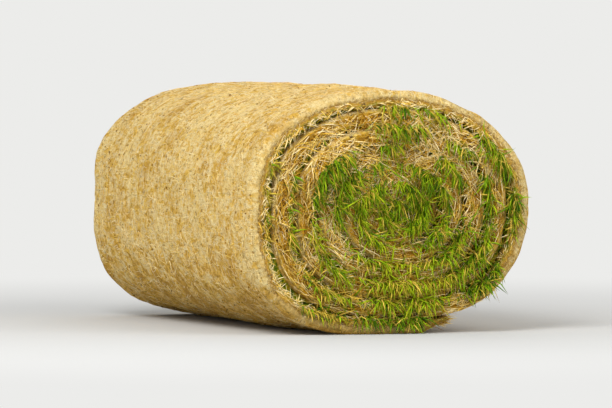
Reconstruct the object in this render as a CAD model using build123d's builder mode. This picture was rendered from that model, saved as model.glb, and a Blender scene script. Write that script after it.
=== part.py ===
"""A roll of turf: one strip of grass and its root mat, rolled up with the grass inside.

The strip is cut from the field with a flat blade, about as thick as a thumb, and rolled from one end.
Its soil side ends up outside. Stacked rolls squash each other, so the roll is an oval that is wider
than it is high, with a flatter underside. Seen from an end, the root mat is a spiral and the grass
lies in the gap between its turns.

Millimetres. The roll lies along Y, Z is up, and the origin is on the floor under its middle.
Angles are turned about the roll's axis from +X towards +Z, as they are seen from its front end.
"""

import os
from math import ceil, cos, hypot, pi, radians, sin, sqrt

from build123d import *

# The strip of turf
STRIP_WIDTH = 400.0  # across the strip, which is the roll's length
MAT = 14.0  # thickness of the root mat, without its grass

# How it is rolled
TURNS = 5.75
CORE_HALF_WIDTH = 6.0  # of the first turn's inside, measured where the strip begins
CORE_HALF_HEIGHT = 5.0
SIDE_GRASS = 6.6  # room that the grass keeps between two turns at the roll's sides
PRESSED_GRASS = 1.7  # and above and below its middle, where the turns bear on each other
GRASS_BITE = 0.5  # how far the grass has pressed into the soil side that it lies on
LOOSE_END_ANGLE = 300.0  # where the strip's outer end lies, tucked in under the roll

# How the stack has squashed it: 2 is an ellipse, and more is squarer
CORE_SQUARENESS = 2.0
LEAST_SQUARENESS = 2.1
MOST_SQUARENESS = 3.0
SQUAREST_ANGLE = 240.0  # the corner that the others have squashed most, low on the left
REST_PRESS = 2.0  # how far the lowest turn is pressed flat where the roll lies

# The cut edges of the strip
GRASS_GAP_DEPTH = 12.0  # how far in the gap between the turns is open
CORE_GRASS = 1.0  # grass that lines the hollow beyond that depth
SHOULDER = 9.0  # rounding of the outermost turn's edges
LOOSE_END_EXTRA = 2.5  # how much rounder the strip's outer end is than those edges
LEAST_LAND = 1.0  # of the cut edge that the rounding leaves flat

TURN = 2 * pi
PAIRS_PER_TURN = 8
SLOPE_PAIRS = 3
NUDGE = 1e-4  # radians, for the direction of a curve

side_pitch = MAT + SIDE_GRASS
pressed_pitch = MAT + PRESSED_GRASS
last_angle = radians(LOOSE_END_ANGLE) + TURN * round(TURNS)
first_angle = last_angle - TURN * TURNS
shoulder = min(SHOULDER, MAT - LEAST_LAND)


def soil_side(angle):
    """The point of the spiral where the mat's soil side has turned to this angle.

    It is a superellipse whose half width, half height and squareness grow evenly with the turns.
    """
    turns = (angle - first_angle) / TURN
    half_width = CORE_HALF_WIDTH + MAT + side_pitch * turns
    half_height = CORE_HALF_HEIGHT + MAT + pressed_pitch * turns
    squashed = (1 + cos(angle - radians(SQUAREST_ANGLE))) / 2
    outer = LEAST_SQUARENESS + (MOST_SQUARENESS - LEAST_SQUARENESS) * squashed
    power = CORE_SQUARENESS + (outer - CORE_SQUARENESS) * turns / TURNS
    across = abs(cos(angle) / half_width) ** power
    up = abs(sin(angle) / half_height) ** power
    radius = (across + up) ** (-1 / power)
    return radius * cos(angle), radius * sin(angle)


def direction(curve, angle):
    """The way that one of these curves runs at this angle."""
    ahead_x, ahead_z = curve(angle + NUDGE)
    behind_x, behind_z = curve(angle - NUDGE)
    return Vector(ahead_x - behind_x, ahead_z - behind_z).normalized()


def in_mat(angle, depth):
    """The point this deep under the soil side, across the mat."""
    x, z = soil_side(angle)
    along = direction(soil_side, angle)
    return x - depth * along.Y, z + depth * along.X


def mid_mat(angle):
    """The middle of the mat's thickness, along which the strip's length is measured."""
    return in_mat(angle, MAT / 2)


def grass_side(angle):
    """The mat's inner side, which the grass grows from."""
    return in_mat(angle, MAT)


def under_grass(angle):
    """Where the grass that grows at this angle bears on the turn inside it."""
    return in_mat(angle - TURN, GRASS_BITE)


def core_side(angle):
    """The grass that lines the hollow."""
    return in_mat(angle, MAT + CORE_GRASS)


def loose_end(angle):
    """The soil side where the strip's worn outer end slopes down to the turn under it."""
    part = (last_angle - angle) / slope_swing
    height = part * part * (3 - 2 * part)
    x, z = soil_side(angle)
    under_x, under_z = soil_side(angle - TURN)
    return under_x + (x - under_x) * height, under_z + (z - under_z) * height


def draw(curve, start, end, pairs=0):
    """Draws one of these curves from one angle to another, as pairs of arcs that run smoothly on.

    Both arcs of a pair meet where the arms along their outer ends' directions are equally long.
    """
    pairs = pairs or ceil(PAIRS_PER_TURN * (end - start) / TURN)
    angles = [start + (end - start) * i / pairs for i in range(pairs + 1)]
    for first, last in zip(angles, angles[1:]):
        a, b = Vector(*curve(first)), Vector(*curve(last))
        leaving, arriving = direction(curve, first), direction(curve, last)
        chord = b - a
        forward = chord.dot(leaving + arriving)
        turning = 2 * (1 - leaving.dot(arriving))
        arm = chord.dot(chord) / (forward + sqrt(forward**2 + turning * chord.dot(chord)))
        meeting = (a + b + (leaving - arriving) * arm) / 2
        TangentArc(a, meeting, tangent=leaving)
        TangentArc(b, meeting, tangent=-arriving)


# The outer end's slope is as long as it takes to bend no tighter than the edges' rounding
loose_radius = hypot(*soil_side(last_angle))
loose_step = loose_radius - hypot(*soil_side(last_angle - TURN))
slope_swing = sqrt(6 * loose_step * (shoulder + LOOSE_END_EXTRA)) / loose_radius
slope_start = last_angle - slope_swing
lip_start = slope_start - GRASS_GAP_DEPTH / loose_radius

# The roll's outline: its last turn, with the strip's outer end
with BuildSketch() as outline:
    with BuildLine():
        draw(soil_side, last_angle - TURN, slope_start)
        draw(loose_end, slope_start, last_angle, SLOPE_PAIRS)
    make_face()

# The spiral's own middle isn't the middle of the squashed roll, so the drawing plane is moved
extent = outline.sketch.bounding_box()
middle_x = (extent.min.X + extent.max.X) / 2
floor_z = extent.min.Y + REST_PRESS
across_roll = Plane(origin=(-middle_x, 0, -floor_z), x_dir=(1, 0, 0), z_dir=(0, -1, 0))
front_end = across_roll.offset(STRIP_WIDTH / 2)
back_end = across_roll.offset(-STRIP_WIDTH / 2)

with BuildPart() as turf_roll:
    with BuildSketch(back_end):
        add(outline.sketch)
    extrude(amount=STRIP_WIDTH)

    # The worn shoulders of the last turn, all round both ends
    ends = turf_roll.faces().filter_by(Axis.Y)
    fillet(ends.edges(), radius=shoulder)

    # The gap at each end, from the hollow in the middle out to the strip's outer end
    for end, inwards in ((front_end, -1), (back_end, 1)):
        with BuildSketch(end):
            with BuildLine():
                draw(grass_side, first_angle, lip_start)
                draw(under_grass, first_angle + TURN, lip_start)
                Line(grass_side(first_angle), under_grass(first_angle + TURN))
                Line(grass_side(lip_start), under_grass(lip_start))
            make_face()
        extrude(amount=inwards * GRASS_GAP_DEPTH, mode=Mode.SUBTRACT)

    # The same gap under the strip's outer end, along the whole roll
    with BuildSketch(back_end):
        with BuildLine():
            draw(grass_side, lip_start, last_angle)
            draw(under_grass, lip_start, last_angle)
            Line(grass_side(lip_start), under_grass(lip_start))
            Line(grass_side(last_angle), under_grass(last_angle))
        make_face()
    extrude(amount=STRIP_WIDTH, mode=Mode.SUBTRACT)

    # The hollow that the first turn goes round, from end to end
    with BuildSketch(back_end):
        with BuildLine():
            draw(core_side, first_angle, first_angle + TURN)
            Line(core_side(first_angle + TURN), core_side(first_angle))
        make_face()
    extrude(amount=STRIP_WIDTH, mode=Mode.SUBTRACT)

    # The underside, pressed flat by the roll's own weight
    split(bisect_by=Plane.XY, keep=Keep.TOP)

turf_roll.part.label = "turf_roll"

with BuildLine() as strip:
    draw(mid_mat, first_angle, last_angle)
size = turf_roll.part.bounding_box().size
length = sum(arc.length for arc in strip.edges())
print(f"roll {size.X:.1f} wide, {size.Z:.1f} high, {size.Y:.1f} long, of a strip {length:.0f} long")

os.makedirs("parts", exist_ok=True)
export_step(turf_roll.part, "parts/turf_roll.step")
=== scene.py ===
"""A roll of turf: its root mat, the grass rolled up in it, and the roots and straws that stand out.

Metres, in the frame of the solid roll: +Z is up and the roll lies along Y. Angles are turned about
its axis from +X towards +Z, as they are seen from its front end, which faces -Y.
"""

from math import cos, pi, radians, sin

import bpy
import numpy as np
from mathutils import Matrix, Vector


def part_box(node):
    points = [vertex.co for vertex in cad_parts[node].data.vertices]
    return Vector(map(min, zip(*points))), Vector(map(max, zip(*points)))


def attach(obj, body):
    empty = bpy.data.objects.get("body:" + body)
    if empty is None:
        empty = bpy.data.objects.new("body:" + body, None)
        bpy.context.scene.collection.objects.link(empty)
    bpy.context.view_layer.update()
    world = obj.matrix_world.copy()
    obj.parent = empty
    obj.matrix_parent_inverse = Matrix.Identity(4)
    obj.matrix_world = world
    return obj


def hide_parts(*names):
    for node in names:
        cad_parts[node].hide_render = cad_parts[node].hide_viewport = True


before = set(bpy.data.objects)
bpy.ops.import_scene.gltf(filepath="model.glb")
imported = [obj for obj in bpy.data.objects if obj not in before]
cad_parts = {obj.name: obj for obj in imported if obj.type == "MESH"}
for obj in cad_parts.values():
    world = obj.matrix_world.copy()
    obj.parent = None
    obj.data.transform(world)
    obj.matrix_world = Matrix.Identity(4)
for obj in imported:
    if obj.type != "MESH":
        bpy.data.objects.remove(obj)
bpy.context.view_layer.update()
roll_low, roll_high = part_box("turf_roll")

# The strip and how it is rolled, as the solid roll is
STRIP_WIDTH = roll_high.y - roll_low.y
HALF = STRIP_WIDTH / 2
MAT = 0.014  # thickness of the root mat, without its grass
TURN = 2 * pi
TURNS = 5.75
CORE_HALF_WIDTH = 0.006  # of the first turn's inside
CORE_HALF_HEIGHT = 0.005
SIDE_PITCH = MAT + 0.0066  # from one turn to the next, at the roll's sides
PRESSED_PITCH = MAT + 0.0017  # and above and below its middle
CORE_SQUARENESS = 2.0  # 2 is an ellipse, and more is squarer
LEAST_SQUARENESS = 2.1
MOST_SQUARENESS = 3.0
SQUAREST_ANGLE = radians(240)
REST_PRESS = 0.002  # how far the lowest turn is pressed flat
LOOSE_END_ANGLE = radians(300)  # where the strip's outer end lies, tucked in under the roll
LAST_ANGLE = LOOSE_END_ANGLE + TURN * round(TURNS)
FIRST_ANGLE = LAST_ANGLE - TURN * TURNS
OUTER_START = LAST_ANGLE - TURN  # where the turn that shows from outside begins
OUTER_RADIUS = 0.11  # of that turn, on average: it turns lengths along the strip into angles

# How the strip is worn
INNER_CORNER = 0.003  # rounding of its cut edges on the soil side, inside the roll
GRASS_CORNER = 0.003  # and on the grass side
SHOULDER = 0.010  # and on the soil side of the last turn
ROUNDING_SWING = radians(40)  # over which that turn's edges grow round
WEAR_SWING = radians(50)  # and over which its felt and its cut take on their worn look, with painted light on the rim
DRY_SWING = radians(30)  # over which a turn grows dry
DRY_SIDE = radians(165)  # the side of the roll where its grass is driest
END_SLOPE = radians(20)  # how far back from the strip's outer end it wears thin
LIP = 0.0025  # thickness that is left at that end
TORN = 0.009  # how far back that end is torn, on average

ENDS = {"front": -1, "back": 1}
ALONG_ROLL = np.array([0.0, 1.0, 0.0])
UP = np.array([0.0, 0.0, 1.0])
FLOOR_CLEARANCE = 0.0002  # the least height of strands and crumbs over the floor
LATTICE = 32  # cells that the noise has each way before it repeats
NUDGE = 1e-4  # radians, for the direction of the spiral
TINY = 1e-9  # keeps a vector of no length from dividing by nothing
OUTLINE_POINTS = 2000  # that the roll's middle and floor are found from
MEASURED_POINTS = 4000  # that lengths along the spiral are measured between


# Noise and the spiral

def noise(points, size, seed):
    """Smooth noise from -1 to 1: random values on a lattice whose cells have this size.

    Inside a cell the values at its corners are blended by 3t^2 - 2t^3 along each axis.
    """
    lattice = np.random.default_rng(seed).uniform(-1, 1, (LATTICE,) * 3)
    cell = np.floor(points / size)
    part = points / size - cell
    part = part * part * (3 - 2 * part)
    cell = cell.astype(int)
    total = np.zeros(points.shape[:-1])
    for corner in np.ndindex(2, 2, 2):
        near = np.where(np.array(corner, dtype=bool), part, 1 - part)
        index = (cell + corner) % LATTICE
        total += near.prod(axis=-1) * lattice[index[..., 0], index[..., 1], index[..., 2]]
    return total


def layered_noise(points, *layers):
    """The sum of several noises, each given by its height, the size of its cells and its seed."""
    return sum(height * noise(points, size, seed) for height, size, seed in layers)


def ease(start, end, value):
    """0 up to start, 1 from end on and 3t^2 - 2t^3 between them, where start may be the larger."""
    part = np.clip((value - start) / (end - start), 0, 1)
    return part * part * (3 - 2 * part)


def unit(vectors):
    """The vectors at length 1."""
    return vectors / np.linalg.norm(vectors, axis=-1, keepdims=True)


def spiral(angle):
    """The point (x, z) of the squashed spiral that the mat's soil side follows, before it is placed.

    It is a superellipse (|cos/w|^n + |sin/h|^n)^(-1/n) whose w, h and n grow evenly with the turns.
    """
    turns = (angle - FIRST_ANGLE) / TURN
    half_width = CORE_HALF_WIDTH + MAT + SIDE_PITCH * turns
    half_height = CORE_HALF_HEIGHT + MAT + PRESSED_PITCH * turns
    squashed = (1 + np.cos(angle - SQUAREST_ANGLE)) / 2
    outer = LEAST_SQUARENESS + (MOST_SQUARENESS - LEAST_SQUARENESS) * squashed
    power = CORE_SQUARENESS + (outer - CORE_SQUARENESS) * turns / TURNS
    across = np.abs(np.cos(angle) / half_width) ** power
    up = np.abs(np.sin(angle) / half_height) ** power
    radius = (across + up) ** (-1 / power)
    return np.stack([radius * np.cos(angle), radius * np.sin(angle)], axis=-1)


# The spiral's own middle isn't the middle of the squashed roll, so it is moved
outline = spiral(np.linspace(OUTER_START, LAST_ANGLE - END_SLOPE, OUTLINE_POINTS))
middle_x = (outline[:, 0].min() + outline[:, 0].max()) / 2
floor_z = outline[:, 1].min() + REST_PRESS
AXIS = np.array([-middle_x, 0.0, -floor_z])


def inwards(angle):
    """The unit vector (x, 0, z) that points across the mat, from its soil side to its grass side."""
    run = unit(spiral(angle + NUDGE) - spiral(angle - NUDGE))
    return np.stack([-run[..., 1], np.zeros_like(angle), run[..., 0]], axis=-1)


def in_mat(angle, y, depth):
    """The point at this angle of the spiral, this place along the roll and this deep in the mat."""
    x, z = np.moveaxis(spiral(angle), -1, 0)
    soil = AXIS + np.stack([x, np.broadcast_to(y, x.shape), z], axis=-1)
    return soil + inwards(angle) * np.asarray(depth)[..., None]


def measured(start, end):
    """Closely spaced angles from start to end, and the length of spiral from start to each of them."""
    angles = np.linspace(start, end, MEASURED_POINTS)
    lengths = np.linalg.norm(np.diff(spiral(angles), axis=0), axis=1)
    return angles, np.concatenate([[0], np.cumsum(lengths)])


def evenly_along(start, end, step):
    """Angles from start to end that are about this step apart along the spiral."""
    angles, travelled = measured(start, end)
    count = max(2, round(travelled[-1] / step) + 1)
    return np.interp(np.linspace(0, travelled[-1], count), travelled, angles)


def travelled_to(angle):
    """Length of the strip's soil side from its inner end to this angle."""
    return np.interp(angle, *measured(FIRST_ANGLE, LAST_ANGLE))


def on_last_turn(angle, swing):
    """0 before the last turn and 1 on it, rising over this swing from where it begins."""
    return ease(OUTER_START, OUTER_START + swing, angle)


# Meshes from arrays

def two_each(a, b, c, d):
    """Two triangles for each four-sided face, whose corners these arrays of point numbers give."""
    halves = [np.stack([a, b, c], axis=-1), np.stack([a, c, d], axis=-1)]
    return np.concatenate([half.reshape(-1, 3) for half in halves])


def with_middles(grid):
    """What a grid has at each point, row by row, and then the mean of its first row and of its last."""
    points = grid.reshape(-1, *grid.shape[2:])
    return np.concatenate([points, grid[:1].mean(axis=1), grid[-1:].mean(axis=1)])


def closed_run(grid):
    """Points and faces of a tube whose rows are closed loops, with a fan over each of its two ends.

    grid is rows x points x 3. The middles of the two fans come after its own points.
    """
    rows, around = grid.shape[:2]
    here = np.arange(rows * around).reshape(rows, around)
    beside = np.roll(here, -1, axis=1)
    sides = two_each(here[:-1], beside[:-1], beside[1:], here[1:])
    first, last = rows * around, rows * around + 1
    start = np.stack([beside[0], here[0], np.full(around, first)], axis=-1)
    end = np.stack([here[-1], beside[-1], np.full(around, last)], axis=-1)
    return with_middles(grid), np.concatenate([sides, start, end])


def outward(points, faces):
    """The faces, turned round if their signed volume says that they face inwards."""
    a, b, c = (points[faces[:, i]] for i in range(3))
    volume = np.einsum("ij,ij->i", a, np.cross(b, c)).sum()
    return faces if volume > 0 else faces[:, ::-1]


def joined(*shells):
    """Points and faces of several shells as one mesh."""
    counts = np.cumsum([0] + [len(points) for points, faces in shells])
    points = np.concatenate([shell[0] for shell in shells])
    faces = np.concatenate([shell[1] + count for shell, count in zip(shells, counts)])
    return points, faces


def piece(name, points, faces, material, values=None):
    """Makes an object of triangles that rides on the roll. It may have values by name at its points."""
    mesh = bpy.data.meshes.new(name)
    mesh.vertices.add(len(points))
    mesh.vertices.foreach_set("co", points.astype(np.float32).ravel())
    mesh.loops.add(faces.size)
    mesh.loops.foreach_set("vertex_index", faces.astype(np.int32).ravel())
    mesh.polygons.add(len(faces))
    mesh.polygons.foreach_set("loop_start", np.arange(0, faces.size, 3, dtype=np.int32))
    mesh.polygons.foreach_set("use_smooth", np.ones(len(faces), dtype=bool))
    for label, numbers in (values or {}).items():
        attribute = mesh.attributes.new(label, "FLOAT", "POINT")
        attribute.data.foreach_set("value", numbers.astype(np.float32).ravel())
    mesh.update()
    mesh.materials.append(material)
    thing = bpy.data.objects.new(name, mesh)
    bpy.context.scene.collection.objects.link(thing)
    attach(thing, "root")
    return thing


# Shaders

class Value:
    """A shader's socket, which sums, products and differences can be written with."""

    def __init__(self, shader, socket):
        self.shader = shader
        self.socket = socket

    def maths(self, operation, first, second):
        settings = {"operation": operation}
        return self.shader.node("ShaderNodeMath", settings, {0: first, 1: second})

    def __add__(self, other):
        return self.maths("ADD", self, other)

    def __sub__(self, other):
        return self.maths("SUBTRACT", self, other)

    def __rsub__(self, other):
        return self.maths("SUBTRACT", other, self)

    def __mul__(self, other):
        return self.maths("MULTIPLY", self, other)

    __radd__ = __add__
    __rmul__ = __mul__

    def or_greater(self, other):
        """This value or the other one, whichever is greater."""
        return self.maths("MAXIMUM", self, other)


class Shader:
    """The node tree of a material or a world, built from values."""

    STREAK_LENGTHS = 130.0  # cells of noise to a metre, along the fibres
    STREAK_WIDTHS = 1900.0  # and across them

    def __init__(self, owner):
        self.owner = owner
        owner.use_nodes = True
        self.tree = owner.node_tree
        self.tree.nodes.clear()

    def node(self, kind, settings=None, sockets=None, output=0):
        """Adds a node with these settings and socket values or links, and gives one of its outputs.

        A node without outputs is given itself. A colour ramp's stops are written as a setting.
        """
        made = self.tree.nodes.new(kind)
        for name, value in (settings or {}).items():
            if name == "stops":
                ramp = made.color_ramp
                while len(ramp.elements) < len(value):
                    ramp.elements.new(0.5)
                for element, (place, colour) in zip(ramp.elements, value):
                    element.position = place
                    element.color = colour
            else:
                setattr(made, name, value)
        for name, value in (sockets or {}).items():
            if isinstance(value, Value):
                self.tree.links.new(value.socket, made.inputs[name])
            else:
                made.inputs[name].default_value = value
        return Value(self, made.outputs[output]) if len(made.outputs) else made

    def attribute(self, name):
        """A value that the mesh has at its points."""
        return self.node("ShaderNodeAttribute", {"attribute_name": name}, output="Fac")

    def place(self):
        """The object's own coordinates."""
        return self.node("ShaderNodeTexCoord", output="Object")

    def unrolled(self, along, across, third=0.0):
        """Coordinates on the unrolled strip: metres along and across it, both multiplied, and a third."""
        parts = {
            "X": self.attribute("travelled") * along,
            "Y": self.attribute("across") * across,
            "Z": third,
        }
        return self.node("ShaderNodeCombineXYZ", {}, parts)

    def fibres(self, turned):
        """Thin straight streaks on the unrolled strip, turned this far from its length, from 0 to 1."""
        along, across = self.attribute("travelled"), self.attribute("across")
        parts = {
            "X": (along * cos(turned) + across * sin(turned)) * self.STREAK_LENGTHS,
            "Y": (across * cos(turned) - along * sin(turned)) * self.STREAK_WIDTHS,
            "Z": turned * 10,
        }
        return self.cloud(self.node("ShaderNodeCombineXYZ", {}, parts), detail=2.0)

    def cloud(self, vector, scale=1.0, detail=4.0, roughness=0.6):
        """Noise from 0 to 1, mostly near a half."""
        sockets = {"Vector": vector, "Scale": scale, "Detail": detail, "Roughness": roughness}
        return self.node("ShaderNodeTexNoise", {}, sockets)

    def between(self, value, start, end):
        """0 up to start, 1 from end on and smooth between them, where start may be the larger."""
        settings = {"interpolation_type": "SMOOTHSTEP"}
        sockets = {"Value": value, "From Min": start, "From Max": end}
        return self.node("ShaderNodeMapRange", settings, sockets)

    def mix(self, first, second, factor):
        """One colour or the other, by the factor."""
        sockets = {0: factor, 6: first, 7: second}
        return self.node("ShaderNodeMix", {"data_type": "RGBA"}, sockets, output=2)

    def over(self, base, colour, value, start, end, most=1.0):
        """The base with a colour laid over it as the value goes from start to end, up to this much."""
        return self.mix(base, colour, self.between(value, start, end) * most)

    def ramp(self, value, *stops):
        """A colour by the value, between stops that are each a place from 0 to 1 and a colour."""
        return self.node("ShaderNodeValToRGB", {"stops": stops}, {"Fac": value})

    def finish(self, colour, roughness, shine, height=None, distance=None):
        """The finished material. Its height, if it has one, is a bump of this distance for each 1."""
        sockets = {"Base Color": colour, "Roughness": roughness, "Specular IOR Level": shine}
        if height is not None:
            bump = {"Height": height, "Distance": distance, "Strength": 1.0}
            sockets["Normal"] = self.node("ShaderNodeBump", {}, bump)
        surface = self.node("ShaderNodeBsdfPrincipled", {}, sockets)
        self.node("ShaderNodeOutputMaterial", {}, {"Surface": surface})
        return self.owner


def rgb(red, green, blue):
    """A colour written as it looks on a screen, from 0 to 255, as the shader's linear values."""
    parts = np.array([red, green, blue]) / 255
    linear = np.where(parts < 0.04045, parts / 12.92, ((parts + 0.055) / 1.055) ** 2.4)
    return (*linear.tolist(), 1.0)


# Colours and materials

PALE_FELT = rgb(253, 229, 160)
FELT = rgb(247, 213, 136)
GOLDEN_FELT = rgb(237, 190, 78)
DARK_FELT = rgb(192, 143, 58)
CREAM = rgb(250, 231, 178)
STRAW = rgb(238, 202, 86)
RUST = rgb(213, 158, 38)
BROWN = rgb(154, 107, 22)
PEAT = rgb(80, 48, 12)
OLIVE = rgb(160, 148, 20)
LEAF = rgb(116, 154, 4)
BRIGHT_LEAF = rgb(174, 198, 20)
DARK_LEAF = rgb(56, 92, 2)

ROOT_DIRECTIONS = (radians(8), radians(50), radians(97), radians(139))
LOW_FELT_SHADE = (0.085, 0.01)  # the heights between which the felt grows darker downwards, partly with soil specks and partly as painted shade


def matted_roots(shader, where, grit):
    """The felt on the soil side: its colour, the height of its roots and the depth of its holes.

    Pale threads run four ways over darker hollows. Strands, tufts, flecks and pits lie over them in
    cream, gold and brown, stronger in some patches, with grit and soil between. Low on the roll the
    flecks and peat specks grow stronger, partly as soil specks and partly as painted shade.
    """
    first, second, third, fourth = (shader.fibres(turned) for turned in ROOT_DIRECTIONS)
    threads = first.or_greater(second).or_greater(third.or_greater(fourth))
    hollows = (first + second + third + fourth) * 0.25
    strands = shader.cloud(shader.unrolled(900.0, 70.0), detail=3.0, roughness=0.65)
    mottle = shader.cloud(shader.unrolled(105.0, 60.0, 2.0), roughness=0.7)
    tufts = shader.cloud(shader.unrolled(230.0, 150.0), roughness=0.65)
    pits = shader.cloud(shader.unrolled(260.0, 130.0, 5.0), roughness=0.66)
    patches = shader.cloud(where, 24.0, detail=5.0, roughness=0.62)
    specks = shader.cloud(where, 640.0, detail=1.0, roughness=0.5)
    # Painted shade with soil specks: the felt gets more dark flecks and peat specks towards the bottom of
    # the roll
    low = shader.between(shader.node("ShaderNodeSeparateXYZ", {}, {0: where}, output="Z"), *LOW_FELT_SHADE)
    uneven = shader.between(patches, 0.38, 0.6) * 0.6 + 0.4
    flecks = mottle + low * 0.12 + (patches - 0.5) * 0.3

    felt = shader.over(FELT, PALE_FELT, threads, 0.55, 0.66)
    felt = shader.over(felt, CREAM, strands, 0.52, 0.62, 0.8)
    felt = shader.over(felt, DARK_FELT, strands, 0.45, 0.35, 0.6)
    felt = shader.over(felt, CREAM, tufts, 0.48, 0.38, uneven)
    felt = shader.over(felt, GOLDEN_FELT, tufts, 0.51, 0.58, uneven)
    felt = shader.over(felt, DARK_FELT, tufts, 0.56, 0.66, uneven)
    felt = shader.over(felt, PALE_FELT, patches, 0.48, 0.34, 0.6)
    felt = shader.over(felt, GOLDEN_FELT, flecks, 0.52, 0.58, 0.9)
    felt = shader.over(felt, DARK_FELT, flecks, 0.58, 0.68, 0.7)
    felt = shader.over(felt, DARK_FELT, patches, 0.5, 0.7, 0.5)
    felt = shader.over(felt, DARK_FELT, hollows, 0.49, 0.43, 0.8)
    felt = shader.over(felt, BROWN, grit, 0.62, 0.7, 0.55)
    felt = shader.over(felt, BROWN, pits, 0.58, 0.65, 0.85)
    felt = shader.over(felt, PEAT, specks + low * 0.06, 0.7, 0.76, 0.8)
    roots = threads * 0.5 + hollows * 0.7 + strands * 0.5 + mottle * 0.5
    holes = (tufts + pits * 1.5) * 0.7
    return felt, roots, holes


def cut_layers(shader, layers, clods, grit, fibres):
    """The colour of the cut: rust and brown between pale felt and olive grass, with soil and fibres."""
    stops = (
        (0.0, FELT),
        (0.12, STRAW),
        (0.3, RUST),
        (0.55, BROWN),
        (0.75, RUST),
        (0.9, OLIVE),
        (1.0, BROWN),
    )
    cut = shader.ramp(layers, *stops)
    cut = shader.over(cut, PEAT, clods, 0.46, 0.34)
    cut = shader.over(cut, STRAW, grit, 0.54, 0.66, 0.8)
    cut = shader.over(cut, CREAM, fibres, 0.56, 0.68, 0.8)
    return shader.over(cut, PEAT, fibres, 0.45, 0.34, 0.9)


def mat_finish():
    """Root mat: a felt of pale roots on its soil side, and a layered rusty cut at its edges.

    On the last turn, whose edges are worn round, the felt runs on over the shoulder, painted paler there
    as painted light, and the rust shows only deeper in the cut.
    """
    shader = Shader(bpy.data.materials.new("root_mat"))
    depth = shader.attribute("depth")
    edge = shader.attribute("edge")
    where = shader.place()
    grit = shader.cloud(where, 420.0, detail=3.0, roughness=0.7)
    clods = shader.cloud(where, 150.0, roughness=0.65)
    fibres = shader.cloud(shader.unrolled(260.0, 260.0, depth * 26.0), roughness=0.7)
    layers = depth + (clods - 0.5) * 0.8
    felt, roots, holes = matted_roots(shader, where, grit)
    cut = cut_layers(shader, layers, clods, grit, fibres)
    # Painted light: the rim is the felt mixed 0.4 towards pale felt, to stand in for light on the rounded
    # shoulder
    rim_and_painted_light = shader.mix(felt, PALE_FELT, 0.4)
    rim_and_painted_light = shader.over(rim_and_painted_light, cut, layers + (fibres - 0.5) * 1.4, 0.38, 0.6, 0.9)
    cut = shader.mix(cut, rim_and_painted_light, shader.attribute("worn"))
    colour = shader.mix(felt, cut, edge)
    height = roots + grit * 0.4 + clods * (edge * 1.4 + 0.4) + fibres * edge - holes * (1 - edge)
    return shader.finish(colour, roughness=0.92, shine=0.15, height=height, distance=0.0028)


def pressed_finish():
    """Crushed grass deep between the turns."""
    shader = Shader(bpy.data.materials.new("pressed_grass"))
    clods = shader.cloud(shader.place(), 240.0, roughness=0.65)
    colour = shader.ramp(clods, (0.3, PEAT), (0.45, DARK_LEAF), (0.56, OLIVE), (0.68, BROWN))
    return shader.finish(colour, roughness=0.9, shine=0.2, height=clods, distance=0.002)


def grass_finish():
    """Blades from dark green through bright green to olive and straw, paler towards the root."""
    shader = Shader(bpy.data.materials.new("grass"))
    streaks = shader.cloud(shader.place(), 300.0, detail=2.0)
    tint = shader.attribute("tint") + (streaks - 0.5) * 0.3
    stops = ((0.0, DARK_LEAF), (0.3, LEAF), (0.58, BRIGHT_LEAF), (0.78, OLIVE), (1.0, STRAW))
    blade = shader.ramp(tint, *stops)
    blade = shader.over(blade, STRAW, shader.attribute("length"), 0.35, 0.0, 0.6)
    return shader.finish(blade, roughness=0.55, shine=0.15)


def straw_finish():
    """Dry thatch and roots, from cream through straw to rust and peat."""
    shader = Shader(bpy.data.materials.new("straw"))
    streaks = shader.cloud(shader.place(), 400.0, detail=2.0)
    tint = shader.attribute("tint") + (streaks - 0.5) * 0.25
    stops = ((0.0, CREAM), (0.2, PALE_FELT), (0.4, STRAW), (0.6, RUST), (0.8, BROWN), (1.0, PEAT))
    return shader.finish(shader.ramp(tint, *stops), roughness=0.8, shine=0.1)


def crumb_finish():
    """Crumbs of dry soil."""
    shader = Shader(bpy.data.materials.new("soil"))
    grain = shader.cloud(shader.place(), 900.0, detail=3.0)
    colour = shader.ramp(grain, (0.35, PEAT), (0.55, BROWN), (0.75, DARK_FELT))
    return shader.finish(colour, roughness=0.95, shine=0.15, height=grain, distance=0.0006)


# The rolled strip

INNER_STEP = 0.0024  # along the strip, inside the roll
OUTER_STEP = 0.0026  # and on its last turn
OUTER_COLUMN = 0.0025  # across the last turn's soil side
INNER_COLUMNS = np.array([0.18, 0.03, 0.016, 0.009, 0.0045, 0.0015])  # in from the rounding
GRASS_COLUMNS = np.array([0.004, 0.009, 0.016, 0.17])  # and the same on the grass side
ROUND_STEPS = 4  # in each quarter round
CUT_STEPS = 6  # over the flat cut


def rounding(angle):
    """The radius of the mat's edges on its soil side, which grows on the last turn."""
    return INNER_CORNER + (SHOULDER - INNER_CORNER) * on_last_turn(angle, ROUNDING_SWING)


def worn_away(angle):
    """How deep the mat's soil side is worn off here, near the strip's outer end."""
    return ease(LAST_ANGLE - END_SLOPE, LAST_ANGLE, angle) * (MAT - LIP)


def torn_back(angle, y):
    """The angle by which the strip is drawn back here, which grows towards its torn outer end."""
    place = np.stack([y, np.zeros_like(y), np.full_like(y, 0.5)], axis=-1)
    torn = TORN + layered_noise(place, (0.009, 0.045, 51), (0.004, 0.013, 52))
    return ease(LAST_ANGLE - 1.5 * END_SLOPE, LAST_ANGLE, angle) * torn / OUTER_RADIUS


def felt_relief(points):
    """How far the mat's surface stands out here: noise at four sizes, from dents to matted roots."""
    dents = (0.0016, 0.075, 7), (0.0010, 0.032, 1)
    roots = (0.0007, 0.013, 2), (0.0003, 0.0045, 3)
    return layered_noise(points, *dents, *roots)


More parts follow.
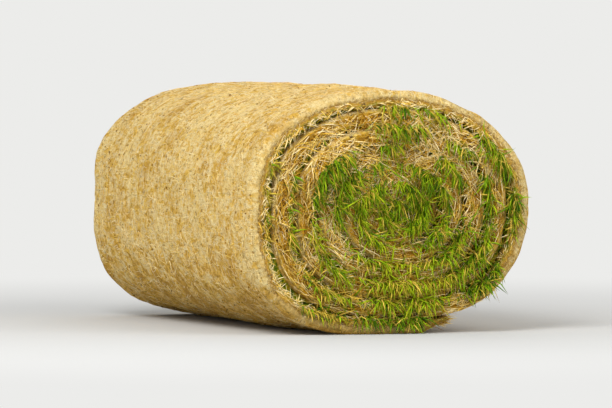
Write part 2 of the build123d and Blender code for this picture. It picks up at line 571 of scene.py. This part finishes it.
def edge_wander(angle, y):
    """How far the strip's cut edge is moved along the roll here, fading to nothing further in.

    It is noise whose third coordinate grows with the turns, so that each turn has its own.
    """
    side = np.sign(y)
    x, z = np.moveaxis(spiral(angle), -1, 0)
    lane = np.stack([x, z, (angle - FIRST_ANGLE) * 0.02 + side], axis=-1)
    near = ease(0.05, 0.0, HALF - np.abs(y))
    return side * near * (layered_noise(lane, (0.0034, 0.045, 11), (0.0016, 0.018, 12)) - 0.0005)


def mirrored(half, sign=1):
    """Values along half a section, and then back along its other half, where they have this sign."""
    return np.concatenate([half, sign * half[:, ::-1]], axis=1)


def section(angles, soil_columns):
    """The mat's cross-section at each angle: a rounded rectangle, worn thin at the strip's outer end.

    The first half goes from mid roll over the flat soil side, a quarter round, the flat cut, a quarter
    round and the flat grass side back to mid roll, and the second half is its mirror image. Gives
    depth, y, the length from mid roll round the edge, and the outward direction's parts along depth
    and along y, each as angles x points.
    """
    gone = worn_away(angles)[:, None]
    most = (MAT - gone) * 0.45
    soil_round = np.minimum(rounding(angles)[:, None], most)
    grass_round = np.minimum(GRASS_CORNER, most)
    turn = np.linspace(0, pi / 2, ROUND_STEPS + 1)[1:]
    sine, cosine = np.sin(turn), np.cos(turn)
    flat = np.linspace(0, 1, CUT_STEPS + 1)[1:]
    soil_edge = gone + soil_round
    parts = [
        (gone, HALF - soil_round - soil_columns, -1.0, 0.0),
        (soil_edge - soil_round * cosine, HALF - soil_round + soil_round * sine, -cosine, sine),
        (soil_edge + flat * (MAT - soil_edge - grass_round), HALF, 0.0, 1.0),
        (MAT - grass_round + grass_round * sine, HALF - grass_round + grass_round * cosine, sine, cosine),
        (MAT, HALF - grass_round - GRASS_COLUMNS, 1.0, 0.0),
    ]
    columns = zip(*(np.broadcast_arrays(*part) for part in parts))
    depth, y, out_depth, out_y = (np.concatenate(column, axis=1) for column in columns)
    steps = np.hypot(np.diff(depth, axis=1), np.diff(y, axis=1))
    across = np.cumsum(np.concatenate([y[:, :1], steps], axis=1), axis=1)
    return mirrored(depth), mirrored(y, -1), mirrored(across, -1), mirrored(out_depth), mirrored(out_y, -1)


def mat_run(start, end, step, soil_columns):
    """Part of the rolled strip as a closed shell, roughened along its own outward direction.

    The roughness is the felt's relief and, near the cut edges, noise at three sizes. The cut edges
    also wander in and out along the roll, a little differently in each turn.
    """
    angles = evenly_along(start, end, step)
    depth, y, across, out_depth, out_y = section(angles, soil_columns)
    angle = angles[:, None] - torn_back(angles[:, None], y)
    from_end = HALF - np.abs(y)
    worn = on_last_turn(angle, WEAR_SWING)
    points = in_mat(angle, y, depth)
    points[..., 1] += edge_wander(angle, y)
    cut = ease(0.014, 0.003, from_end) * ease(-0.95, -0.4, out_depth)
    ragged = layered_noise(points, (0.0020, 0.013, 4), (0.0014, 0.006, 5), (0.0007, 0.003, 6))
    shows = worn * ease(0.7, 0.1, out_depth)
    height = felt_relief(points) * (0.45 + 0.55 * shows) + cut * ragged
    points += inwards(angle) * (out_depth * height)[..., None]
    points[..., 1] += out_y * height
    points[..., 2] = np.maximum(points[..., 2], 0.0)
    values = {
        "depth": depth / MAT,
        "edge": ease(-0.8, -0.1, out_depth) * ease(0.03, 0.012, from_end),
        "worn": worn,
        "travelled": travelled_to(angle),
        "across": across,
    }
    values = {name: with_middles(value) for name, value in values.items()}
    points, faces = closed_run(points)
    return points, outward(points, faces), values


def rolled_strip():
    """The whole strip: fine columns where its last turn shows, and few inside the roll."""
    outer_columns = np.arange(HALF - SHOULDER - OUTER_COLUMN / 2, 0, -OUTER_COLUMN)
    inner = mat_run(FIRST_ANGLE, OUTER_START, INNER_STEP, INNER_COLUMNS)
    outer = mat_run(OUTER_START, LAST_ANGLE, OUTER_STEP, outer_columns)
    points, faces = joined(inner[:2], outer[:2])
    values = {name: np.concatenate([inner[2][name], outer[2][name]]) for name in inner[2]}
    thing = piece("rolled_strip", points, faces, mat_finish(), values)
    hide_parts("turf_roll")


# The grass pressed between the turns

PRESSED_STEP = 0.003
PRESSED_RECESS = 0.009  # how far behind the cut edges it lies
PRESSED_OVERLAP = 0.001  # how far it reaches into the mat on both sides
CORE_HOLE = 0.02  # of the core's width, which stays open along its middle


def pressed_run(start, end, to_core):
    """The grass that fills the gap inside this stretch of turns, or the core, as a closed shell.

    Each row goes across the gap near the front end and back across it near the back end, and noise
    roughens both.
    """
    angles = evenly_along(start, end, PRESSED_STEP)
    over = in_mat(angles, 0.0, MAT - PRESSED_OVERLAP)
    if to_core:
        under = AXIS + (over - AXIS) * CORE_HOLE
    else:
        under = in_mat(angles - TURN, 0.0, PRESSED_OVERLAP)
    parts = np.linspace(0, 1, 5)[None, :, None]
    front = over[:, None] * (1 - parts) + under[:, None] * parts
    back = front[:, ::-1].copy()
    for row, side, seed in ((front, ENDS["front"], 21), (back, ENDS["back"], 22)):
        place = row + 0.3 * side * UP
        row[..., 1] = side * (HALF - PRESSED_RECESS) + layered_noise(place, (0.003, 0.009, seed))
    points, faces = closed_run(np.concatenate([front, back], axis=1))
    return points, outward(points, faces)


def pressed_grass():
    """The crushed grass in the hollow that the first turn goes round, and in the gap from there on."""
    core = pressed_run(FIRST_ANGLE, FIRST_ANGLE + TURN, True)
    gap = pressed_run(FIRST_ANGLE + TURN, LAST_ANGLE - END_SLOPE, False)
    points, faces = joined(core, gap)
    piece("pressed_grass", points, faces, pressed_finish())


# Strands, and the places where they and the crumbs lie

def strands(root, bend, tip, across, width, thickness, rings):
    """Tapering three-sided strands, each along the curve (1-t)^2 root + 2t(1-t) bend + t^2 tip.

    Each ring has an edge half a width to either side, along across, and a keel under the middle. The
    width is 1 - t^3 of its full size, and the strand closes in a point at its tip. Gives points and
    faces, how far along its strand each point is, and how many points a strand has.
    """
    count = len(root)
    along = np.linspace(0, 1, rings + 1)[:-1]
    t = along[None, :, None]
    middle = (1 - t) ** 2 * root[:, None] + 2 * t * (1 - t) * bend[:, None] + t**2 * tip[:, None]
    run = unit((1 - t) * (bend - root)[:, None] + t * (tip - bend)[:, None] + TINY)
    flat = across[:, None] - run * (across[:, None] * run).sum(-1, keepdims=True)
    flat = unit(flat + TINY)
    keel = np.cross(run, flat)
    size = (1 - t**3) * width[:, None, None] / 2
    deep = (1 - t**3) * thickness[:, None, None]
    loops = np.stack([middle - flat * size, middle + flat * size, middle - keel * deep], axis=2)
    points = np.concatenate([loops.reshape(count, -1, 3), tip[:, None]], axis=1)
    pattern = [[0, 2, 1]]
    for ring in range(rings - 1):
        for side in range(3):
            a, b = 3 * ring + side, 3 * ring + (side + 1) % 3
            pattern += [[a, b, b + 3], [a, b + 3, a + 3]]
    top = 3 * (rings - 1)
    pattern += [[top, top + 1, top + 3], [top + 1, top + 2, top + 3], [top + 2, top, top + 3]]
    each = 3 * rings + 1
    faces = (np.arange(count)[:, None, None] * each + np.array(pattern)).reshape(-1, 3)
    length = np.append(np.repeat(along, 3), 1.0)
    return points.reshape(-1, 3), faces, np.tile(length, count), each


def strand_piece(name, material, tint, *shape):
    """One object of strands, with a tint for each of them and the length along it for each point."""
    points, faces, length, each = strands(*shape)
    points[:, 2] = np.maximum(points[:, 2], FLOOR_CLEARANCE)
    values = {"tint": np.repeat(tint, each), "length": length}
    piece(name, points, outward(points, faces), material, values)


def random_angles(random, count, start, end):
    """Angles spread evenly along the strip's length between two angles."""
    angles = np.linspace(start, end, MEASURED_POINTS)
    travelled = travelled_to(angles)
    return np.interp(random.uniform(travelled[0], travelled[-1], count), travelled, angles)


def edge_places(random, count, shallow, deep):
    """Angles and depths of places on a cut edge, spread evenly along the strip between two depths."""
    angle = random_angles(random, count, FIRST_ANGLE, LAST_ANGLE - END_SLOPE)
    return angle, random.uniform(shallow, deep, count)


def edge_point(angle, depth, side):
    """The point of the cut edge at this angle and depth, further in where the edge is rounded."""
    corner = rounding(angle)
    sunk = corner - np.sqrt(corner**2 - np.maximum(corner - depth, 0) ** 2)
    point = in_mat(angle, side * (HALF - sunk), depth)
    point[:, 1] += edge_wander(angle, point[:, 1])
    return point


def mat_directions(angle):
    """Across the mat towards its grass side, and back along the strip towards its inner end."""
    across_mat = inwards(angle)
    return across_mat, np.cross(across_mat, ALONG_ROLL)


def felt_point(angle, y, lift):
    """The point over the soil side of the last turn and its shoulders, this far over its relief."""
    past = np.maximum(0, np.abs(y) - HALF + SHOULDER)
    sunk = SHOULDER - np.sqrt(np.maximum(SHOULDER**2 - past**2, 0))
    point = in_mat(angle, y, sunk)
    return point - inwards(angle) * (felt_relief(point) + lift)[:, None]


def kept(chosen, *arrays):
    """The chosen rows of each array."""
    return [array[chosen] for array in arrays]


# Grass, straws, roots and crumbs

BLADES = 15000  # places for a blade at each end, of which the clumps take some
BLADE_ROOTS = 0.008  # how far in from the cut edge a blade may grow
OVERHANG = 0.016  # how far past the end of the roll a blade may reach
STRAWS = 12400  # places for a straw on the cut edge at each end
LOOSE_STRAWS = 4200  # along the strip's outer end
EDGE_CRUMBS = 1600  # places for a crumb of soil on each cut edge
FELT_CRUMBS = 2600  # and on the felt
CRUMB = 0.0003  # radius of a small one
CRUMB_RING = 5  # points in each of a crumb's two rings


def dryness(angle):
    """From 0 to 1, where the grass is rubbed and dry: down the roll's left side, in its outer turns."""
    left = ease(-0.2, 0.6, np.cos(angle - DRY_SIDE))
    both = ease(OUTER_START - TURN, OUTER_START - TURN + DRY_SWING, angle)
    return left * (0.7 * both + 0.3 * on_last_turn(angle, DRY_SWING))


def freshness(angle):
    """From 0 to 1, where the grass is greenest and thickest: in the roll's inner turns."""
    return ease(2.8, 0.8, (angle - FIRST_ANGLE) / TURN)


def grass_blades(end, side, material):
    """Blades that grow from the mat's grass side near one end, lean out of the gap and hang over.

    Each leaves along the roll, with some lean along the strip and towards the next turn, and its
    outer half falls. They stand in clumps, with bare mat between.
    """
    random = np.random.default_rng(100 + side)
    angle, depth = edge_places(random, BLADES, MAT - 0.002, MAT)
    root = edge_point(angle, depth, side)
    dry, fresh = dryness(angle), freshness(angle)
    clumps = layered_noise(root, (1.0, 0.026, 31), (0.6, 0.012, 33)) - 0.5 * dry + 0.4 * fresh
    chosen = random.uniform(0, 1, BLADES) < ease(-0.55, 0.75, clumps)
    angle, root, clumps, dry, fresh = kept(chosen, angle, root, clumps, dry, fresh)
    count = len(root)
    across_mat, back = mat_directions(angle)
    out = side * ALONG_ROLL
    root -= out * random.uniform(0.0, BLADE_ROOTS, count)[:, None]
    length = random.uniform(0.009, 0.023, count) * (1 + 0.3 * clumps) * (1 - 0.35 * dry)
    lean = random.normal(0, 0.55, count)[:, None] * back
    lean += random.uniform(-0.1, 0.8, count)[:, None] * across_mat
    heading = unit(out * random.uniform(0.4, 1.1, count)[:, None] + lean)
    bend = root + heading * (length * 0.5)[:, None]
    droop = random.uniform(0.2, 2.0, count)[:, None]
    falling = unit(heading * 0.6 + random.normal(0, 0.35, (count, 3)) - UP * droop)
    tip = bend + falling * (length * 0.8)[:, None]
    reach = HALF + OVERHANG
    tip[:, 1] = np.clip(tip[:, 1], -reach, reach)
    bend[:, 1] = np.clip(bend[:, 1], -reach + 0.002, reach - 0.002)
    across = unit(back + random.normal(0, 0.4, (count, 3)))
    width = random.uniform(0.0009, 0.0021, count)
    tint = np.clip(0.38 + 0.28 * noise(root, 0.04, 32) + random.normal(0, 0.22, count), 0, 1)
    straw = random.uniform(0, 1, count) < 0.24 + 0.55 * dry - 0.12 * fresh
    tint = np.where(straw, random.uniform(0.8, 1.0, count), tint)
    strand_piece(f"grass_{end}", material, tint, root, bend, tip, across, width, width * 0.22, 3)


def thatch(end, side, material):
    """Dry straws and roots that lie over the cut edge, close to it, and hang a little.

    On the last turn, whose edge is worn round, they are shorter and paler, and hardly any lie on its
    shoulder.
    """
    random = np.random.default_rng(200 + side)
    angle, depth = edge_places(random, STRAWS, 0.0003, MAT)
    root = edge_point(angle, depth, side)
    worn = on_last_turn(angle, ROUNDING_SWING)
    chosen = random.uniform(0, 1, STRAWS) < 1 - worn * ease(0.0115, 0.0065, depth)
    angle, root, worn = kept(chosen, angle, root, worn)
    count = len(root)
    across_mat, back = mat_directions(angle)
    out = side * ALONG_ROLL
    root -= out * 0.001
    length = random.uniform(0.006, 0.021, count) * (1 - 0.35 * worn)
    swing = random.normal(0, 0.75, count) + np.where(random.uniform(0, 1, count) < 0.5, 0, pi)
    sideways = np.cos(swing)[:, None] * back + np.abs(np.sin(swing))[:, None] * across_mat
    heading = unit(out * random.uniform(0.1, 0.9, count)[:, None] + sideways)
    bend = root + heading * (length * 0.5)[:, None]
    droop = random.uniform(0, 0.9, count)[:, None]
    tip = bend + unit(heading + sideways * 0.5 - out * 0.7 - UP * droop) * (length * 0.5)[:, None]
    width = 0.0003 + 0.0007 * random.uniform(0, 1, count) ** 2
    tint = random.normal(0.38, 0.27, count) + 0.22 * noise(root, 0.02, 41) - 0.1 * worn
    tint = np.clip(tint, 0, 1)
    across = UP + random.normal(0, 0.3, (count, 3))
    strand_piece(f"thatch_{end}", material, tint, root, bend, tip, across, width, width * 0.6, 3)


def felt_roots(name, material, seed, count, longest, widest, paleness):
    """Roots that lie over the soil side of the last turn, mostly along it or across it.

    Each is drawn through three points of the surface, its ends and its middle, which are sunk in it
    or stand over it by less than a millimetre.
    """
    random = np.random.default_rng(seed)
    angle = random_angles(random, count, OUTER_START, LAST_ANGLE - END_SLOPE)
    y = random.uniform(-HALF + 0.002, HALF - 0.002, count)
    heading = np.where(random.uniform(0, 1, count) < 0.5, 0.0, pi / 2) + random.normal(0, 0.4, count)
    length = random.uniform(0.25, 1.0, count) * longest
    turning = length * np.cos(heading) / np.linalg.norm(spiral(angle), axis=1)
    shift = length * np.sin(heading)
    sway = random.normal(0, 0.12, (2, count)) * length

    def on_felt(part, lift, along_sway=0.0, across_sway=0.0):
        along = angle + turning * (part - 0.5) + along_sway / OUTER_RADIUS
        along = np.clip(along, OUTER_START, LAST_ANGLE)
        place = np.clip(y + shift * (part - 0.5) + across_sway, -HALF + 0.001, HALF - 0.001)
        return felt_point(along, place, lift)

    root = on_felt(0.0, random.uniform(-0.0008, 0.0003, count))
    tip = on_felt(1.0, random.uniform(-0.0008, 0.0005, count))
    middle = on_felt(0.5, random.uniform(0.0, 0.0005, count), *sway)
    bend = 2 * middle - (root + tip) / 2
    across = unit(np.cross(tip - root, inwards(angle)))
    width = random.uniform(0.45, 1.0, count) * widest
    tint = np.clip(random.normal(1 - paleness, 0.22, count), 0, 1)
    strand_piece(name, material, tint, root, bend, tip, across, width, width * 0.5, 3)


def loose_end_straws(material):
    """Roots and straws that stick out of the strip's torn outer end, over the turn under it."""
    random = np.random.default_rng(350)
    count = LOOSE_STRAWS
    y = random.uniform(-HALF + 0.008, HALF - 0.008, count)
    angle = LAST_ANGLE - torn_back(LAST_ANGLE, y) - np.abs(random.normal(0, 0.05, count))
    gone = worn_away(angle)
    root = in_mat(angle, y, gone + random.uniform(0.0, 1.0, count) * (MAT - gone))
    across_mat, back = mat_directions(angle)
    length = random.uniform(0.004, 0.014, count)
    along_roll = random.normal(0, 0.7, count)[:, None] * ALONG_ROLL
    heading = unit(along_roll - back + random.uniform(-0.3, 0.5, count)[:, None] * across_mat)
    bend = root + heading * (length * 0.5)[:, None]
    tip = bend + unit(heading + 0.6 * along_roll - UP * 0.4) * (length * 0.5)[:, None]
    width = random.uniform(0.0003, 0.0009, count)
    tint = np.clip(random.normal(0.4, 0.2, count), 0, 1)
    across = ALONG_ROLL + random.normal(0, 0.3, (count, 3))
    strand_piece("loose_end_straws", material, tint, root, bend, tip, across, width, width * 0.6, 2)


def crumb_shape():
    """A ball of 20 equal triangles: a point at each pole and two rings of five, half a step apart.

    The rings lie at the latitudes arctan(1/2) and -arctan(1/2).
    """
    latitude = np.arctan(0.5)
    step = TURN / CRUMB_RING
    rings = []
    for shift, rise in ((0.0, np.sin(latitude)), (step / 2, -np.sin(latitude))):
        turned = np.arange(CRUMB_RING) * step + shift
        x, y = np.cos(turned) * cos(latitude), np.sin(turned) * cos(latitude)
        rings.append(np.stack([x, y, np.full(CRUMB_RING, rise)], axis=-1))
    points = np.concatenate([[[0, 0, 1.0]], *rings, [[0, 0, -1.0]]])
    upper = np.arange(CRUMB_RING) + 1
    lower = upper + CRUMB_RING
    after_upper, after_lower = np.roll(upper, -1), np.roll(lower, -1)
    top, bottom = np.zeros(CRUMB_RING, int), np.full(CRUMB_RING, len(points) - 1)
    faces = [
        (top, upper, after_upper),
        (upper, lower, after_upper),
        (after_upper, lower, after_lower),
        (bottom, after_lower, lower),
    ]
    return points, np.concatenate([np.stack(corners, axis=-1) for corners in faces])


def soil_crumbs(material):
    """Crumbs of soil caught in the cut edges and on the felt: balls of random size and stretch.

    They lie in patches, more of them low on the roll.
    """
    random = np.random.default_rng(400)
    places = [edge_point(*edge_places(random, EDGE_CRUMBS, 0.004, MAT), side) for side in ENDS.values()]
    angle = random_angles(random, FELT_CRUMBS, OUTER_START, LAST_ANGLE - END_SLOPE)
    y = random.uniform(-HALF + 0.004, HALF - 0.004, FELT_CRUMBS)
    centre = np.concatenate([*places, felt_point(angle, y, 0.0)])
    patches = layered_noise(centre, (1.0, 0.05, 42), (0.5, 0.017, 43)) + 0.3 * ease(0.1, 0.0, centre[:, 2])
    centre = centre[random.uniform(0, 1, len(centre)) < ease(-0.1, 0.9, patches)]
    count = len(centre)
    stretch = random.uniform(0.6, 1.3, (count, 1, 3))
    size = stretch * CRUMB * (1 + 3 * random.uniform(0, 1, (count, 1, 1)) ** 3)
    shape, faces = crumb_shape()
    lumps = random.uniform(0.75, 1.2, (count, len(shape), 1))
    points = (centre[:, None] + shape * size * lumps).reshape(-1, 3)
    faces = (np.arange(count)[:, None, None] * len(shape) + faces).reshape(-1, 3)
    points[:, 2] = np.maximum(points[:, 2], FLOOR_CLEARANCE)
    piece("soil_crumbs", points, outward(points, faces), material)


# The stage

VIEW_AZIMUTH = radians(-21)
VIEW_ELEVATION = radians(2)
VIEW_DISTANCE = 7.4
PICTURE_WIDTH = 0.53  # how wide the picture is at the roll's middle
SENSOR = 0.036  # width of the camera's sensor
BACKDROP = rgb(236, 236, 234)
FLOOR_RADIUS = 60.0
FLOOR_RINGS = 40
FLOOR_SPOKES = 64
SHADED_FLOOR = (0.25, 1.0)  # the distances between which the floor passes into the backdrop
EVEN_LIGHT = 0.7


def aimed(name, data, azimuth, elevation, distance):
    """Adds a camera or a lamp that looks at the roll's middle, in front of its front end at azimuth 0."""
    thing = bpy.data.objects.new(name, data)
    back = Vector((sin(azimuth) * cos(elevation), -cos(azimuth) * cos(elevation), sin(elevation)))
    thing.location = (roll_low + roll_high) / 2 + back * distance
    thing.rotation_euler = (-back).to_track_quat("-Z", "Y").to_euler()
    bpy.context.scene.collection.objects.link(thing)
    return thing


def camera():
    """A long lens from the photograph's side: the end nearly from the front, the side to its left."""
    data = bpy.data.cameras.new("camera")
    data.lens = 1000 * SENSOR * VIEW_DISTANCE / PICTURE_WIDTH
    data.clip_end = 100
    bpy.context.scene.camera = aimed("camera", data, VIEW_AZIMUTH, VIEW_ELEVATION, VIEW_DISTANCE)


def floor_finish():
    """A pale matt floor near the roll, which the camera sees pass into the backdrop's even tone."""
    shader = Shader(bpy.data.materials.new("floor"))
    where = shader.place()
    tone = shader.mix(rgb(193, 193, 191), rgb(197, 197, 195), shader.cloud(where, 3.0, detail=2.0))
    matt = {"Base Color": tone, "Roughness": 1.0, "Specular IOR Level": 0.0}
    lit = shader.node("ShaderNodeBsdfPrincipled", {}, matt)
    plain = shader.node("ShaderNodeEmission", {}, {"Color": BACKDROP, "Strength": 1.0})
    distance = shader.node("ShaderNodeVectorMath", {"operation": "LENGTH"}, {0: where}, output="Value")
    seen = shader.node("ShaderNodeLightPath", output="Is Camera Ray")
    far = shader.between(distance, *SHADED_FLOOR) * seen
    surface = shader.node("ShaderNodeMixShader", {}, {0: far, 1: lit, 2: plain})
    shader.node("ShaderNodeOutputMaterial", {}, {"Surface": surface})
    return shader.owner


def floor():
    """A flat round floor of radius r, as rings (r t^2 cos a, r t^2 sin a, 0) round a middle point."""
    angle = np.linspace(0, TURN, FLOOR_SPOKES, endpoint=False)
    radius = FLOOR_RADIUS * np.linspace(0.02, 1, FLOOR_RINGS)[:, None] ** 2
    x, y = radius * np.cos(angle), radius * np.sin(angle)
    rings = np.stack([x, y, np.zeros_like(x)], axis=-1)
    points = np.concatenate([rings.reshape(-1, 3), np.zeros((1, 3))])
    here = np.arange(x.size).reshape(x.shape)
    beside = np.roll(here, -1, axis=1)
    fan = np.stack([np.full(FLOOR_SPOKES, x.size), here[0], beside[0]], axis=-1)
    faces = np.concatenate([two_each(here[:-1], here[1:], beside[1:], beside[:-1]), fan])
    mesh = bpy.data.meshes.new("floor")
    mesh.from_pydata(points.tolist(), [], faces.tolist())
    mesh.materials.append(floor_finish())
    thing = bpy.data.objects.new("floor", mesh)
    bpy.context.scene.collection.objects.link(thing)


def lamp(name, azimuth, elevation, distance, size, power):
    """A square soft lamp that looks at the roll's middle."""
    data = bpy.data.lights.new(name, "AREA")
    data.size = size
    data.energy = power
    aimed(name, data, radians(azimuth), radians(elevation), distance)


def light():
    """Even light from all round, a soft main lamp at the upper left and two weaker ones.

    The camera sees the backdrop's own tone in place of the even light.
    """
    world = bpy.data.worlds.new("world")
    shader = Shader(world)
    even = shader.node("ShaderNodeBackground", {}, {"Color": (1, 1, 1, 1), "Strength": EVEN_LIGHT})
    backdrop = shader.node("ShaderNodeBackground", {}, {"Color": BACKDROP, "Strength": 1.0})
    seen = shader.node("ShaderNodeLightPath", output="Is Camera Ray")
    both = shader.node("ShaderNodeMixShader", {}, {0: seen, 1: even, 2: backdrop})
    shader.node("ShaderNodeOutputWorld", {}, {"Surface": both})
    bpy.context.scene.world = world
    lamp("key", azimuth=-42, elevation=38, distance=2.2, size=1.0, power=38)
    lamp("fill", azimuth=30, elevation=25, distance=2.6, size=1.6, power=24)
    lamp("back", azimuth=160, elevation=28, distance=2.6, size=1.6, power=12)


camera()
bpy.context.scene.view_settings.view_transform = "Standard"
floor()
light()

rolled_strip()
pressed_grass()
green = grass_finish()
dry_straw = straw_finish()
for end, side in ENDS.items():
    grass_blades(end, side, green)
    thatch(end, side, dry_straw)
felt_roots("fine_roots", dry_straw, seed=300, count=10000, longest=0.022, widest=0.0007, paleness=0.8)
felt_roots("strong_roots", dry_straw, seed=301, count=1100, longest=0.045, widest=0.0009, paleness=0.7)
loose_end_straws(dry_straw)
soil_crumbs(crumb_finish())
